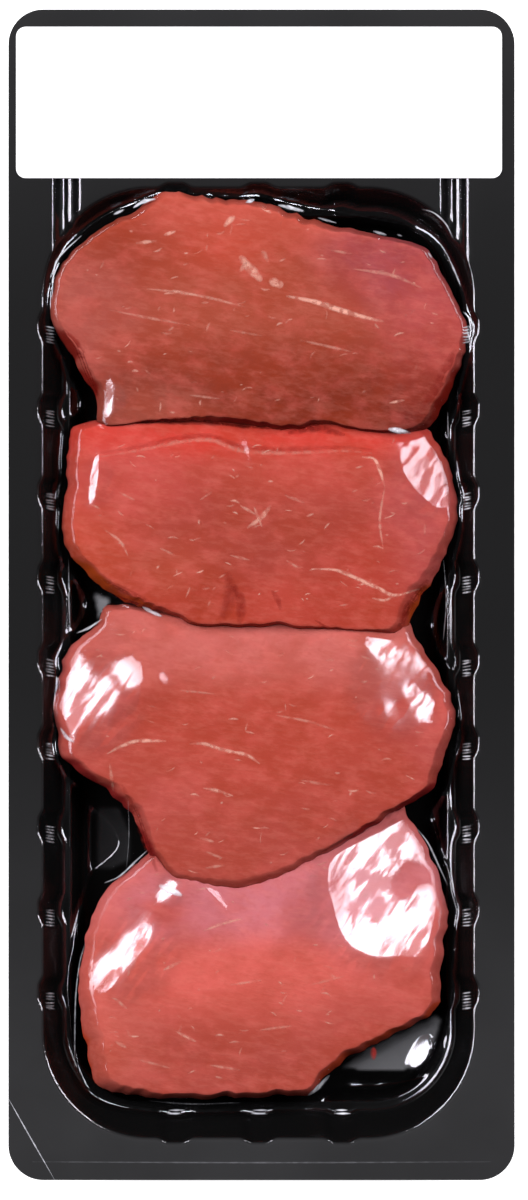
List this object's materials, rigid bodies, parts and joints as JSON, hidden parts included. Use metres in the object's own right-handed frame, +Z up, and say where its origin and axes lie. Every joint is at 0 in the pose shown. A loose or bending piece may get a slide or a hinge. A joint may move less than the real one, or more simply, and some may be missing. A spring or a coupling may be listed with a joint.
{
  "type": "meat tray pack",
  "caption": "Black thermoformed tray of shingled raw meat medallions under a clear skin film, with a bare white label across its wide flange.",
  "frame": {"origin": "middle of the tray's footprint, on the surface that it stands on", "axes": "+Z up out of the tray, +Y towards the label end, +X to the right when the pack is seen from above with its label at the top"},
  "size_m": [0.1216, 0.281, 0.0241],
  "materials": {
    "tray_plastic": "smooth black thermoformed sheet, semi-gloss",
    "raw_meat": "moist raw lean meat with fine fibres and thin marbling",
    "clear_film": "clear glossy skin film",
    "label_paper": "smooth white coated paper"
  },
  "bodies": {
    "root": {"tray": "tray_plastic", "medallion_1": "raw_meat", "medallion_2": "raw_meat", "medallion_3": "raw_meat", "medallion_4": "raw_meat", "skin_film": "clear_film", "label": "label_paper"}
  },
  "joints": []
}
